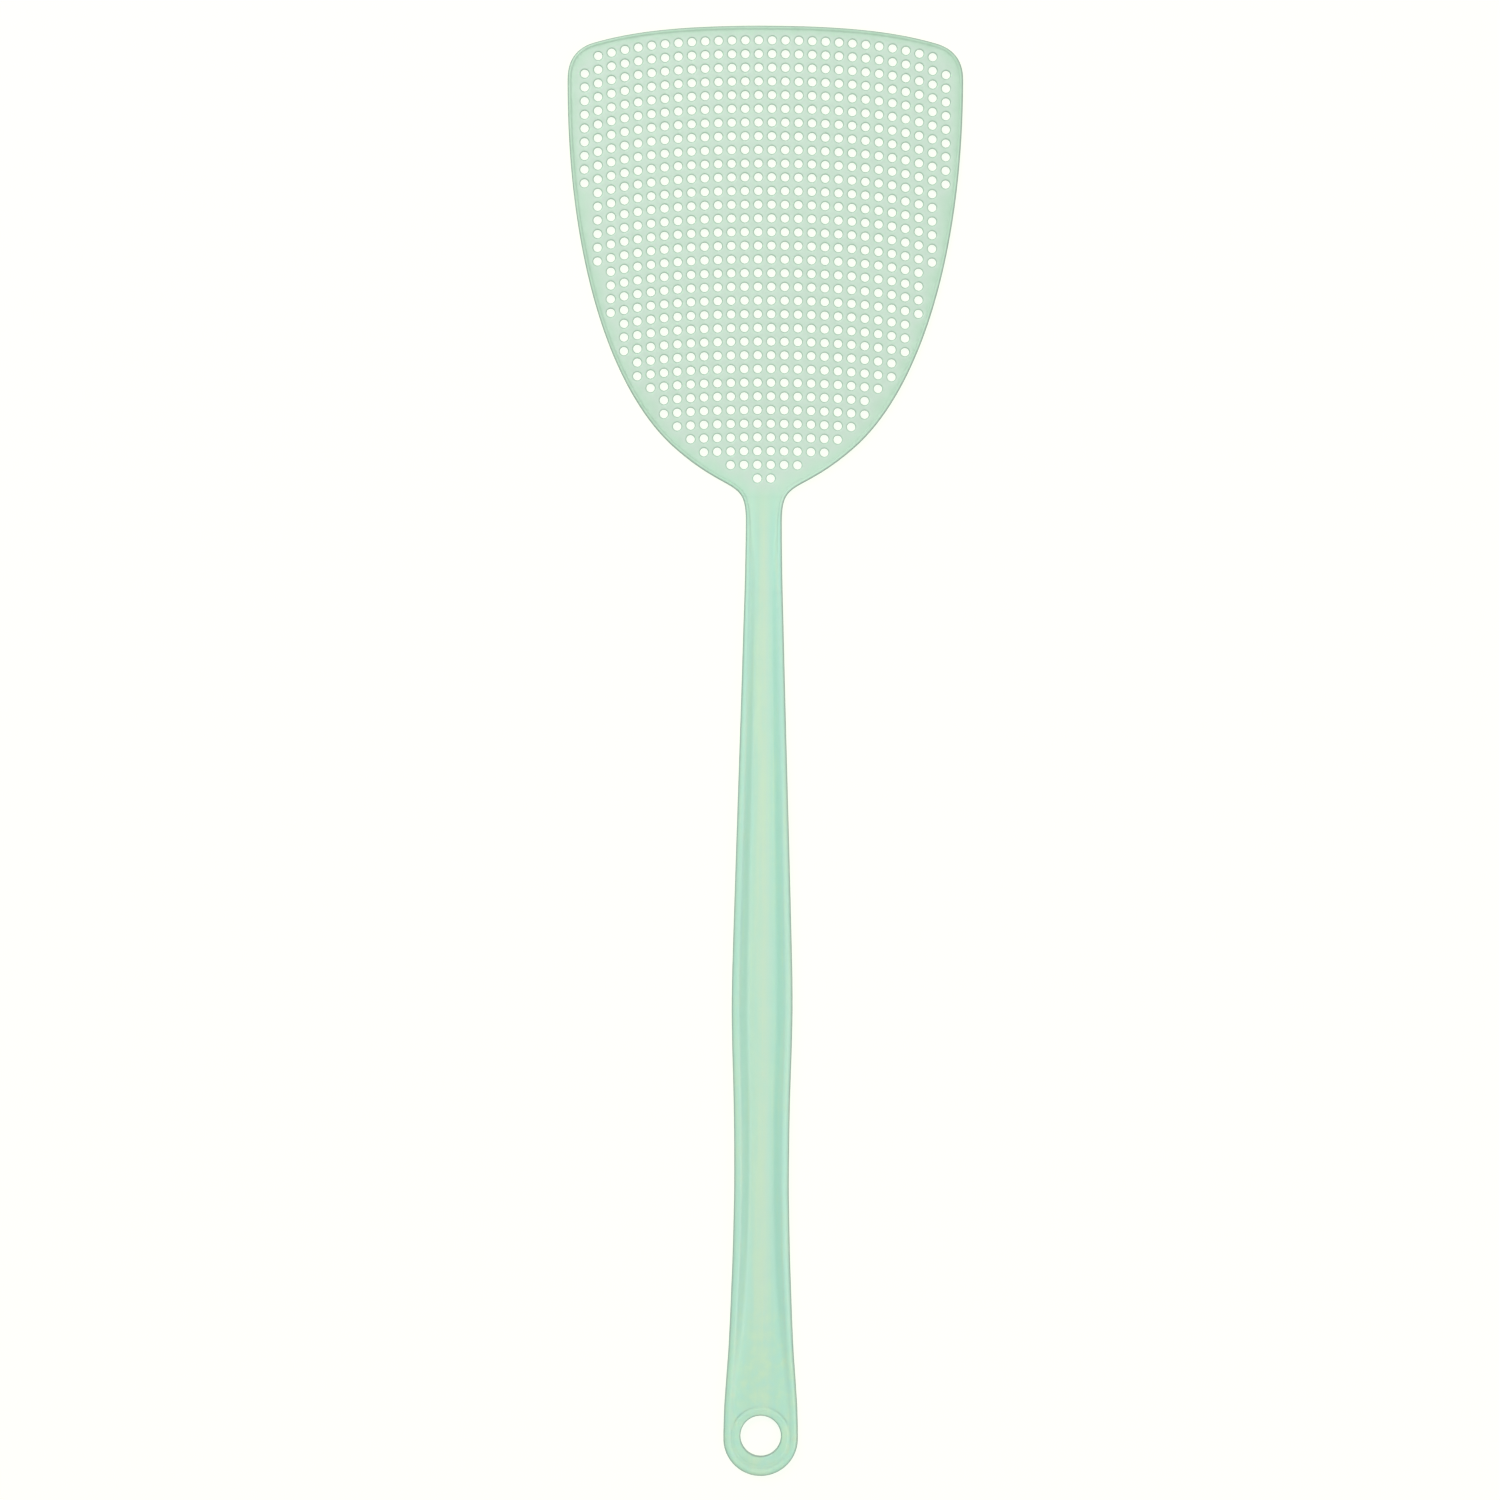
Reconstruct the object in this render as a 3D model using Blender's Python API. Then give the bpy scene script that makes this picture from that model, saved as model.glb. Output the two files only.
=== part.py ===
"""One-piece moulded fly swatter: a perforated head, a flexing neck and a channel handle with a hang hole.

It lies on its back: +Y runs from the handle's end to the head's top, +X across, +Z up out of the face.
Lengths below are millimetres. A station is a distance along Y from the handle's end.
"""
import math

import bmesh
import bpy
import numpy as np
from mathutils import Vector, geometry

MM = 0.001
GAP = 0.3                      # between neighbouring regions of the moulding
CUT = GAP / 2

# Overall size
LENGTH = 440.0
HEAD_HALF_WIDTH = 60.0

# Head outline. Below the shoulder each side is half_width * (1 - t^a)^b, with t the drop over SIDE_DROP
SHOULDER_STATION = 423.7       # where the head is widest
SIDE_DROP = 121.8
SIDE_POWERS = (2.08, 0.435)
FLARE_AT = 0.92                # the drop, as a share of SIDE_DROP, where a side starts to flare into the neck
FLARE_END = 289.5              # station where the flare meets the neck's straight edge
FLARE_PULLS = (13.5, 22.0)     # how far the flare keeps the neck's and the side's directions
CORNER_X = 52.0                # where each rounded corner meets the top edge
CORNER_PULLS = (6.3, 5.0)      # how far a corner keeps the side's and the top edge's directions
TOP_BOW = (0.00111, 3.17e-7)   # drop of the top edge: a*x^2 + b*x^4

# Head section
PANEL_LOW = 0.5
PANEL_HIGH = 1.7
RIM_WIDTH = 1.3
RIM_HEIGHT = 2.1

# Holes: every row is the same bowed line, moved down by one pitch
ROW_COUNTS = ([26] + 9 * [28] + 6 * [26] + 4 * [24] + 3 * [22] + 2 * [20] + [18] + 2 * [16]
              + [14, 12, 10, 6, 2])
UPPER_ROWS = 16
COLUMN_PITCH = 4.06
ROW_PITCH = 4.156
FIRST_ROW_DROP = 4.4
HOLE_DIAMETER = 2.6

# Neck, handle and hang hole
NECK_LOW = 268.0
NECK_HIGH = 297.0
HINGE_HEIGHT = 1.1
FLOOR_HEIGHT = 1.8
EYE_RADIUS = 11.3
HOLE_STATION = 12.2            # the hole sits a little above the round end's centre
HOLE_RADIUS = 6.15
BOSS_RADIUS = 8.7
BOSS_HEIGHT = 3.0
FLOOR_FOOT = 4.0               # how far above the hole's centre the floor's two horns end
HALF_WIDTHS = ((11.3, 11.3), (20.0, 11.12), (26.0, 10.75), (32.0, 10.33), (38.0, 9.9), (46.0, 9.5),
               (56.0, 9.1), (68.0, 8.67), (80.0, 8.4), (89.0, 8.28), (100.0, 8.33), (112.0, 8.5),
               (122.0, 8.77), (132.0, 9.07), (142.0, 9.22), (150.0, 9.16), (158.0, 8.97), (187.0, 8.15),
               (208.0, 7.52), (232.0, 6.8), (257.0, 6.1), (275.0, 5.62), (289.5, 5.45))
RAIL_WIDTHS = ((0.0, 2.3), (134.0, 2.3), (297.0, 1.3))
RAIL_HEIGHTS = ((0.0, 3.2), (24.0, 3.4), (60.0, 4.3), (134.0, 4.8), (200.0, 4.3), (240.0, 3.6),
                (268.0, 2.9), (290.0, 2.2), (297.0, RIM_HEIGHT))
FLOOR_HEIGHTS = ((22.0, 2.9), (60.0, 2.2), (134.0, 2.1), (200.0, 2.0), (268.0, FLOOR_HEIGHT))

# Fineness
RAIL_STEPS = 30
NECK_STEPS = 9
ROUND_STEPS = 32

MINT = (0.50, 0.76, 0.60, 1.0)
PALE_MINT = (0.54, 0.77, 0.63, 1.0)


def smooth_through(stations, x):
    """Value at x of the smooth curve through the stations, which never overshoots them."""
    xs, ys = np.array(stations, float).T
    slopes = np.diff(ys) / np.diff(xs)
    tangents = np.zeros(len(xs))
    for k in range(1, len(xs) - 1):
        before, after = slopes[k - 1], slopes[k]
        if before * after > 0:
            tangents[k] = 2 * before * after / (before + after)
    x = np.clip(x, xs[0], xs[-1])
    k = np.clip(np.searchsorted(xs, x) - 1, 0, len(xs) - 2)
    step = xs[k + 1] - xs[k]
    t = (x - xs[k]) / step
    return (ys[k] * (1 + 2 * t) * (1 - t) ** 2 + tangents[k] * step * t * (1 - t) ** 2
            + ys[k + 1] * t * t * (3 - 2 * t) - tangents[k + 1] * step * t * t * (1 - t))


def bow(x):
    """How far the top edge, and each row of holes, drops below its middle at x."""
    return TOP_BOW[0] * x ** 2 + TOP_BOW[1] * x ** 4


def bezier(points, steps):
    """Points along a cubic curve, without its last one."""
    p = np.array(points, float)
    t = np.linspace(0, 1, steps, endpoint=False)[:, None]
    return (1 - t) ** 3 * p[0] + 3 * (1 - t) ** 2 * t * p[1] + 3 * (1 - t) * t * t * p[2] + t ** 3 * p[3]


def arc(centre, radius, start, end, steps):
    """Points on a circle from one angle to another, in degrees."""
    angle = np.radians(np.linspace(start, end, steps))
    return np.c_[centre[0] + radius * np.cos(angle), centre[1] + radius * np.sin(angle)]


def head_side():
    """Right-hand half of the head's outline, from the neck up to the middle of the top edge."""
    fall = np.sin(np.linspace(math.asin(FLARE_AT), 0, 20, endpoint=False))
    side = np.c_[HEAD_HALF_WIDTH * (1 - fall ** SIDE_POWERS[0]) ** SIDE_POWERS[1],
                 SHOULDER_STATION - SIDE_DROP * fall]
    neck = np.array((float(smooth_through(HALF_WIDTHS, FLARE_END)), FLARE_END))
    power, root = SIDE_POWERS
    across = HEAD_HALF_WIDTH * root * (1 - FLARE_AT ** power) ** (root - 1) * power * FLARE_AT ** (power - 1)
    slant = np.array((across, SIDE_DROP))
    slant *= FLARE_PULLS[1] / np.hypot(*slant)
    flare = bezier((neck, neck + (0.0, FLARE_PULLS[0]), side[0] - slant, side[0]), 14)
    shoulder = np.array((HEAD_HALF_WIDTH, SHOULDER_STATION))
    top = np.array((CORNER_X, LENGTH - bow(CORNER_X)))
    slant = np.array((1.0, -(bow(CORNER_X + 1) - bow(CORNER_X - 1)) / 2))
    slant *= CORNER_PULLS[1] / np.hypot(*slant)
    round_corner = bezier((shoulder, shoulder + (0.0, CORNER_PULLS[0]), top + slant, top), 7)
    x = np.linspace(CORNER_X, 0, 10)
    return np.vstack((flare, side, round_corner, np.c_[x, LENGTH - bow(x)]))


def inset(side, distance):
    """The half outline moved into the material by a distance."""
    run = np.gradient(side, axis=0)
    run /= np.hypot(*run.T)[:, None]
    moved = side + distance * np.c_[-run[:, 1], run[:, 0]]
    moved[-1, 0] = 0.0
    return moved


def cross(side, level):
    """Index and point at which the half outline first rises past a level, which is a function of x."""
    above = side[:, 1] - level(side[:, 0])
    k = int(np.argmax(above > 0))
    t = above[k - 1] / (above[k - 1] - above[k])
    return k, side[k - 1] + t * (side[k] - side[k - 1])


def whole(side):
    """Full outline from its right-hand half: up the right side and down the left."""
    mirrored = side[::-1] * (-1.0, 1.0)
    return np.vstack((side, mirrored[1:] if side[-1, 0] == 0 else mirrored))


def row_line(rows):
    """Station of the bowed line at a number of row pitches below the first row, as a function of x."""
    start = LENGTH - FIRST_ROW_DROP - rows * ROW_PITCH
    return lambda x: start - bow(x)


def holes_in(first, last):
    """Square holes, of the same area as the round ones, in a run of rows."""
    half = HOLE_DIAMETER * math.sqrt(math.pi) / 4
    corners = np.array(((-half, -half), (half, -half), (half, half), (-half, half)))
    found = []
    for row in range(first, last):
        line = row_line(row)
        for column in range(ROW_COUNTS[row] // 2):
            x = (column + 0.5) * COLUMN_PITCH
            found += [corners + (x, line(x)), corners + (-x, line(x))]
    return found


def plastic(name, colour, roughness):
    """Moulded polypropylene."""
    material = bpy.data.materials.new(name)
    material.use_nodes = True
    shader = material.node_tree.nodes["Principled BSDF"]
    shader.inputs["Base Color"].default_value = colour
    shader.inputs["Roughness"].default_value = roughness
    shader.inputs["Metallic"].default_value = 0.0
    return material


def place(name, bm, colour, roughness, pivot):
    """Object with its origin on its pivot, whose mesh is moved back to match."""
    bmesh.ops.recalc_face_normals(bm, faces=bm.faces)
    bmesh.ops.triangulate(bm, faces=bm.faces)
    at = pivot.location if pivot else Vector()
    for vertex in bm.verts:
        vertex.co = vertex.co * MM - at - Vector((0, LENGTH / 2 * MM, 0))
    mesh = bpy.data.meshes.new(name)
    bm.to_mesh(mesh)
    bm.free()
    mesh.materials.append(plastic(name, colour, roughness))
    thing = bpy.data.objects.new(name, mesh)
    thing.parent = pivot
    bpy.context.scene.collection.objects.link(thing)
    return thing


def prism(name, outline, low, high, colour, roughness, holes=(), pivot=None):
    """Plate: an outline with convex holes, filled and raised from low to high, which may vary with station.

    A triangle whose three corners belong to one hole lies in that hole, and is left out.
    """
    points, edges, loop_of = [], [], []
    for number, loop in enumerate((outline, *holes)):
        start, count = len(points), len(loop)
        points += [Vector(p) for p in loop]
        edges += [(start + k, start + (k + 1) % count) for k in range(count)]
        loop_of += [number] * count
    inside = 1
    flat = geometry.delaunay_2d_cdt(points, edges, [], inside, 1e-5)
    owner = [loop_of[source[0]] for source in flat[3]]
    bm = bmesh.new()
    corners = [bm.verts.new((p[0], p[1], low)) for p in flat[0]]
    for face in flat[2]:
        around = {owner[k] for k in face}
        if around == {0} or len(around) > 1:
            bm.faces.new([corners[k] for k in face])
    raised = bmesh.ops.extrude_face_region(bm, geom=bm.faces[:])["geom"]
    moved = [item for item in raised if isinstance(item, bmesh.types.BMVert)]
    for corner in moved:
        corner.co.z = high(corner.co.y) if callable(high) else high
    return place(name, bm, colour, roughness, pivot)


def loft(name, rings, colour, roughness, pivot=None):
    """Bar: equal rings of points joined one to the next, with both ends filled."""
    bm = bmesh.new()
    loops = [[bm.verts.new(p) for p in ring] for ring in rings]
    count = len(loops[0])
    for lower, upper in zip(loops, loops[1:]):
        for k in range(count):
            bm.faces.new((lower[k], lower[(k + 1) % count], upper[(k + 1) % count], upper[k]))
    bm.faces.new(loops[0])
    bm.faces.new(loops[-1])
    return place(name, bm, colour, roughness, pivot)


def rail_section(width, height):
    """Upright bar with a half-round top: pairs of a distance in from the outer face and a height."""
    radius = width / 2
    top = arc((radius, height - radius), radius, 180, 0, 6)
    return np.vstack(((0.0, 0.0), top, (width, 0.0)))


def rail(name, sign, low, high, steps):
    """Raised edge of the handle between two stations, on the side given by sign."""
    rings = []
    for station in np.linspace(low, high, steps):
        outer = smooth_through(HALF_WIDTHS, station)
        if station > FLARE_END:
            outer = flare_width(station)
        section = rail_section(smooth_through(RAIL_WIDTHS, station), smooth_through(RAIL_HEIGHTS, station))
        rings.append([(sign * (outer - inward), station, height) for inward, height in section])
    return loft(name, rings, MINT, 0.42)


def flare_width(station):
    """Half width of the neck where it flares into the head."""
    side = head_side()
    return float(np.interp(station, side[:15, 1], side[:15, 0]))


def floor_side(low, high, steps):
    """Right-hand edge of the channel's floor: the handle's edge, less the rail and its gap."""
    stations = np.linspace(low, high, steps)
    edge = [(flare_width(s) if s > FLARE_END else smooth_through(HALF_WIDTHS, s))
            - smooth_through(RAIL_WIDTHS, s) - GAP for s in stations]
    return np.c_[edge, stations]


def make_head(pivot):
    """Perforated panel in two halves, and the raised rim around it."""
    outer = head_side()
    neck_line = NECK_HIGH + CUT
    panel = inset(outer, RIM_WIDTH + GAP)
    split = row_line(UPPER_ROWS - 0.5)
    k, meet = cross(panel, lambda x: split(x) + CUT)
    across = np.linspace(0, meet[0], 9)[1:-1]
    seam = np.c_[across, split(across) + CUT]
    middle = np.array(((0.0, split(0.0) + CUT),))
    upper = np.vstack((middle, seam, meet, panel[k:]))
    outline = np.vstack((upper, (upper[::-1] * (-1.0, 1.0))[1:-1]))
    prism("head_grid_upper", outline, PANEL_LOW, PANEL_HIGH, MINT, 0.4,
          holes_in(0, UPPER_ROWS), pivot)
    k, meet = cross(panel, lambda x: split(x) - CUT)
    start, foot = cross(panel, lambda x: neck_line + 0 * x)
    across = np.linspace(meet[0], 0, 9)[1:]
    lower = np.vstack((foot, panel[start:k], meet, np.c_[across, split(across) - CUT]))
    prism("head_grid_lower", whole(lower), PANEL_LOW, PANEL_HIGH, MINT, 0.4,
          holes_in(UPPER_ROWS, len(ROW_COUNTS)), pivot)
    edges = []
    for side in (outer, inset(outer, RIM_WIDTH)):
        start, foot = cross(side, lambda x: neck_line + 0 * x)
        edges.append(whole(np.vstack((foot, side[start:]))))
    prism("head_rim", np.vstack((edges[0], edges[1][::-1])), 0.0, RIM_HEIGHT, MINT, 0.38, pivot=pivot)


def make_neck():
    """Flexing web with its two low edge beads, between the handle and the head."""
    low, high = NECK_LOW + CUT, NECK_HIGH - CUT
    edge = floor_side(low, high, NECK_STEPS)
    prism("neck_web", np.vstack((edge, edge[::-1] * (-1.0, 1.0))), 0.0, FLOOR_HEIGHT, PALE_MINT, 0.4)
    rail("neck_bead_left", -1, low, high, NECK_STEPS)
    rail("neck_bead_right", 1, low, high, NECK_STEPS)


def make_handle():
    """Channel floor and its two rails, from the neck to the hang hole."""
    eye = (0.0, HOLE_STATION)
    high = NECK_LOW - CUT
    reach = BOSS_RADIUS + GAP
    start = math.degrees(math.asin(FLOOR_FOOT / reach))
    hollow = arc(eye, reach, 180 - start, start, ROUND_STEPS // 2 + 1)
    edge = floor_side(HOLE_STATION + FLOOR_FOOT + 3.0, high, RAIL_STEPS)
    outline = np.vstack((edge, edge[::-1] * (-1.0, 1.0), hollow))
    prism("handle_floor", outline, 0.0, lambda station: smooth_through(FLOOR_HEIGHTS, station), PALE_MINT, 0.42)
    rail("handle_rail_left", -1, EYE_RADIUS + CUT, high, RAIL_STEPS)
    rail("handle_rail_right", 1, EYE_RADIUS + CUT, high, RAIL_STEPS)


def make_hang_eye():
    """Boss round the hang hole, a little longer than it is wide, and the rim that carries both rails round it."""
    half_round = ROUND_STEPS // 2 + 1
    boss = np.vstack((arc((0.0, HOLE_STATION), BOSS_RADIUS, 0, 180, half_round),
                      arc((0.0, EYE_RADIUS), BOSS_RADIUS, 180, 360, half_round)))
    bore = arc((0.0, HOLE_STATION), HOLE_RADIUS, 0, 360, ROUND_STEPS + 1)[:-1]
    prism("hang_eye", boss, 0.0, BOSS_HEIGHT, MINT, 0.42, [bore])
    section = rail_section(RAIL_WIDTHS[0][1], RAIL_HEIGHTS[0][1])
    turn = math.degrees(CUT / EYE_RADIUS)
    rings = []
    for angle in np.radians(np.linspace(180 + turn, 360 - turn, ROUND_STEPS // 2 + 1)):
        rings.append([((EYE_RADIUS - inward) * math.cos(angle),
                       EYE_RADIUS + (EYE_RADIUS - inward) * math.sin(angle), height)
                      for inward, height in section])
    loft("hang_eye_rim", rings, MINT, 0.4)


def main():
    """Build the swatter."""
    for thing in list(bpy.data.objects):
        bpy.data.objects.remove(thing, do_unlink=True)
    hinge = bpy.data.objects.new("neck_axis", None)
    hinge.location = (0, ((NECK_LOW + NECK_HIGH) / 2 - LENGTH / 2) * MM, HINGE_HEIGHT * MM)
    bpy.context.scene.collection.objects.link(hinge)
    make_head(hinge)
    make_neck()
    make_handle()
    make_hang_eye()


main()
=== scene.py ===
# %% [markdown]
# # A fly swatter, moulded in one shot
# The real thing is a single piece of mint-green polypropylene: a perforated head, a thin neck and a channel
# handle with a hang hole. Nothing is screwed or glued, so all its interest lies in how one wall flows into
# the next. This lesson builds it as surfaces worked out with numpy and laid over the measured model, the
# frame, which holds every size, the body that each piece moves with and the neck's hinge.

# %% Load the frame
import math

import bpy
import numpy as np
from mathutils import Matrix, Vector, geometry


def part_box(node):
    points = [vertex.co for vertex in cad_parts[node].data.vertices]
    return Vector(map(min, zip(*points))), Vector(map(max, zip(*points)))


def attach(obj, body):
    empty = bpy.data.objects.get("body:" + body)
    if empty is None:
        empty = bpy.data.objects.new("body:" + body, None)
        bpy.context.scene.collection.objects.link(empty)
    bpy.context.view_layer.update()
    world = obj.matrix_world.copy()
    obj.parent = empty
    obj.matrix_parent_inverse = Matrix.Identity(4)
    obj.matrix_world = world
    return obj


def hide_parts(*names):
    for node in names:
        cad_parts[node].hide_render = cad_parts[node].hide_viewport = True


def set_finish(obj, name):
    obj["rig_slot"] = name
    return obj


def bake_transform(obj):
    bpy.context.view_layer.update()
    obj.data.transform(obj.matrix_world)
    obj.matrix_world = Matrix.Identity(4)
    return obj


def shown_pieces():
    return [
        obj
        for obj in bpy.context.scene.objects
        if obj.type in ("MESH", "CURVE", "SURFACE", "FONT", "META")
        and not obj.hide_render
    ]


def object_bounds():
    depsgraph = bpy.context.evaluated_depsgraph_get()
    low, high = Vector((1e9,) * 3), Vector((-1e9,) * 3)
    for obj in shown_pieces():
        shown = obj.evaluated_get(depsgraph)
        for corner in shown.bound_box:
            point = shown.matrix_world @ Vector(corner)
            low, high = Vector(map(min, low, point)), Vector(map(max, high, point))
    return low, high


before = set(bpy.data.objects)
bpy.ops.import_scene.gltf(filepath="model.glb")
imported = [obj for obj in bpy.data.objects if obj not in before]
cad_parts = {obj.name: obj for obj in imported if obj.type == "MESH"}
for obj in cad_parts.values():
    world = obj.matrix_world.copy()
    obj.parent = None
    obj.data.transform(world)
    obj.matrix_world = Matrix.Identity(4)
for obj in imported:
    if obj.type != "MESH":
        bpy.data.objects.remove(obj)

cad_low, cad_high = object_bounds()

# %% [markdown]
# ## Driving sizes
# Everything below is in millimetres, because a moulder thinks in them, and is turned into metres only when
# a mesh is made. A *station* is a distance along the swatter from the handle's end. The overall length and
# width, the places where the neck starts and stops and the heights of the panel are read from the frame, so
# the surfaces can't drift away from the measured model. The curves that join them are written out here.

# %% Sizes from the frame
MM = 0.001
LENGTH = (cad_high.y - cad_low.y) / MM
HALF_WIDTH = (cad_high.x - cad_low.x) / 2 / MM


def span(node, axis):
    """Lowest and highest value of a node along an axis, in millimetres, with Y given as a station."""
    shift = LENGTH / 2 if axis == 1 else 0.0
    return tuple(corner[axis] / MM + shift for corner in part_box(node))


CUT = (span("neck_web", 1)[0] - span("handle_floor", 1)[1]) / 2
NECK_LOW = span("neck_web", 1)[0] - CUT
NECK_HIGH = span("neck_web", 1)[1] + CUT
PANEL_LOW, PANEL_HIGH = span("head_grid_upper", 2)
RIM_HEIGHT = span("head_rim", 2)[1]
FLOOR_HEIGHT = span("neck_web", 2)[1]
PAD_HEIGHT = span("handle_floor", 2)[1]
BOSS_HEIGHT = span("hang_eye", 2)[1]
BOSS_RADIUS = span("hang_eye", 0)[1]
EYE_RADIUS = span("hang_eye", 1)[0] + BOSS_RADIUS
HOLE_STATION = span("hang_eye", 1)[1] - BOSS_RADIUS
print(f"length {LENGTH:.1f}, width {2 * HALF_WIDTH:.1f}, neck {NECK_LOW:.1f} to {NECK_HIGH:.1f} mm")

# %% Sizes of the curves
SHOULDER_STATION = 423.7
SIDE_DROP = 121.8
SIDE_POWERS = (2.08, 0.435)
FLARE_AT = 0.92
FLARE_END = 289.5
FLARE_PULLS = (13.5, 22.0)
CORNER_X = 52.0
CORNER_PULLS = (6.3, 5.0)
TOP_BOW = (0.00111, 3.17e-7)
HALF_WIDTHS = ((11.3, 11.3), (20.0, 11.12), (26.0, 10.75), (32.0, 10.33), (38.0, 9.9), (46.0, 9.5),
               (56.0, 9.1), (68.0, 8.67), (80.0, 8.4), (89.0, 8.28), (100.0, 8.33), (112.0, 8.5),
               (122.0, 8.77), (132.0, 9.07), (142.0, 9.22), (150.0, 9.16), (158.0, 8.97), (187.0, 8.15),
               (208.0, 7.52), (232.0, 6.8), (257.0, 6.1), (275.0, 5.62), (289.5, 5.45))

# %% [markdown]
# ## One smooth curve through a few stations
# A handle like this is drawn by giving its width at a few places and letting a smooth curve pass through
# them. A plain spline can bulge past its points, which on a grip shows as a wobble. So each piece of the
# curve is a cubic whose slope at a station is the harmonic mean of the slopes on both sides, or zero at a
# peak: it never overshoots. The same helper also gives rail heights and widths.

# %% Smooth curve
def smooth_through(stations, x):
    """Cubic Hermite curve: slope at each station is the harmonic mean of its two chords' slopes, or zero."""
    xs, ys = np.array(stations, float).T
    chords = np.diff(ys) / np.diff(xs)
    before, after = chords[:-1], chords[1:]
    same_way = before * after > 0
    total = np.where(same_way, before + after, 1.0)
    inner = np.where(same_way, 2 * before * after / total, 0.0)
    tangents = np.concatenate(([0.0], inner, [0.0]))
    x = np.clip(x, xs[0], xs[-1])
    k = np.clip(np.searchsorted(xs, x) - 1, 0, len(xs) - 2)
    step = xs[k + 1] - xs[k]
    t = (x - xs[k]) / step
    return (ys[k] * (1 + 2 * t) * (1 - t) ** 2 + tangents[k] * step * t * (1 - t) ** 2
            + ys[k + 1] * t * t * (3 - 2 * t) - tangents[k + 1] * step * t * t * (1 - t))


def ease(t):
    """Smooth step: 3 t^2 - 2 t^3 on t held between 0 and 1."""
    t = np.clip(t, 0, 1)
    return t * t * (3 - 2 * t)


print("grip half width at its waist:", round(float(smooth_through(HALF_WIDTHS, 87.0)), 2))

# %% [markdown]
# ## The outline as one path
# The right-hand half of the outline runs without a kink from the round end up the handle, through the
# neck's flare and along the head to the middle of its top edge. It is worked out very finely once. Any
# stretch of it can then be picked out by station and sampled evenly, together with the direction that
# points into the plastic. Rim, neck beads, rails and end rim all use stretches of this one path, which is
# why they meet exactly.

# %% Outline
def bow(x):
    """Drop of the top edge, and of every row of holes, at x: a x^2 + b x^4."""
    return TOP_BOW[0] * x ** 2 + TOP_BOW[1] * x ** 4


def eased_corner(start, leaving, arriving, end):
    """Cubic Bezier curve from start to end, with the two vectors that it leaves and arrives along."""
    t = np.linspace(0, 1, 400)[:, None]
    return ((1 - t) ** 3 * start + 3 * (1 - t) ** 2 * t * (start + leaving)
            + 3 * (1 - t) * t * t * (end - arriving) + t ** 3 * end)


def head_side(fall):
    """Side of the head: half width (1 - f^a)^b at a drop of f side-lengths below the shoulder."""
    return np.stack((HALF_WIDTH * (1 - fall ** SIDE_POWERS[0]) ** SIDE_POWERS[1],
                     SHOULDER_STATION - SIDE_DROP * fall), axis=-1)


def half_outline():
    """Right half of the outline: end arc, handle, flare, side, corner and top edge, one after another."""
    turn = np.linspace(-math.pi / 2, 0, 300)
    end = np.c_[EYE_RADIUS * np.cos(turn), EYE_RADIUS * (1 + np.sin(turn))]
    station = np.linspace(EYE_RADIUS, FLARE_END, 1500)
    handle = np.c_[smooth_through(HALF_WIDTHS, station), station]
    side = head_side(np.sin(np.linspace(math.asin(FLARE_AT), 0, 800)))
    slant = side[1] - side[0]
    slant *= FLARE_PULLS[1] / np.hypot(*slant)
    flare = eased_corner(handle[-1], np.array((0.0, FLARE_PULLS[0])), slant, side[0])
    x = np.linspace(CORNER_X, 0, 500)
    top = np.c_[x, LENGTH - bow(x)]
    slant = top[1] - top[0]
    slant *= CORNER_PULLS[1] / np.hypot(*slant)
    corner = eased_corner(side[-1], np.array((0.0, CORNER_PULLS[0])), slant, top[0])
    return np.vstack((end, handle[1:], flare[1:], side[1:], corner[1:], top[1:]))


OUTLINE = half_outline()
ALONG = np.concatenate(([0.0], np.cumsum(np.hypot(*np.diff(OUTLINE, axis=0).T))))
print(f"half outline: {len(OUTLINE)} points, {ALONG[-1]:.0f} mm long")


# %% Sampling a stretch of the outline
SLOPE_REACH = 0.25


def stretch(low, high, step):
    """Even points and inward directions along the outline between two stations, about a step apart."""
    first, last = np.interp((low, high), OUTLINE[:, 1], ALONG)
    at = np.linspace(first, last, max(2, int(round((last - first) / step)) + 1))

    def point(where):
        return np.c_[np.interp(where, ALONG, OUTLINE[:, 0]), np.interp(where, ALONG, OUTLINE[:, 1])]

    ahead, behind = at + SLOPE_REACH, at - SLOPE_REACH
    run = point(ahead) - point(behind)
    before_start = (behind < 0)[:, None]
    run = np.where(before_start, (1.0, 0.0), run)
    past_top = (ahead > ALONG[-1])[:, None]
    run = np.where(past_top, (-1.0, 0.0), run)
    run /= np.hypot(*run.T)[:, None]
    points = point(at)
    if high >= LENGTH:
        points[-1] = (0.0, LENGTH)
    return points, np.c_[-run[:, 1], run[:, 0]]


# %% [markdown]
# ## From arrays to a closed mesh
# Most pieces are a section carried along a path. Their points form a grid: one row for each step along the
# path, and one column for each point of the section. Joining neighbours gives quads, a cap closes each end,
# and a signed volume (the sum of the tetrahedra from the origin to each triangle) tells whether the faces
# point outwards. If it is negative the whole mesh is turned, so no piece can be inside out.

# %% Mesh helpers
def grid_faces(rows, columns, wrap_rows=False):
    """Quads of a grid whose last column joins its first, and its last row too when wrap_rows is set."""
    down = np.arange(rows if wrap_rows else rows - 1)
    r, c = np.meshgrid(down, np.arange(columns), indexing="ij")
    below, beside = (r + 1) % rows, (c + 1) % columns
    corners = (r * columns + c, r * columns + beside, below * columns + beside, below * columns + c)
    return np.stack(corners, axis=-1).reshape(-1, 4)


def volume_of(points, faces):
    """Signed volume: each face is fanned into triangles, and a.(b x c)/6 is summed over them."""
    total = 0.0
    for block in faces:
        a = points[block[:, 0]]
        for k in range(1, block.shape[1] - 1):
            b, c = points[block[:, k]], points[block[:, k + 1]]
            total += np.einsum("ij,ij->", a, np.cross(b, c)) / 6
    return total


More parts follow.
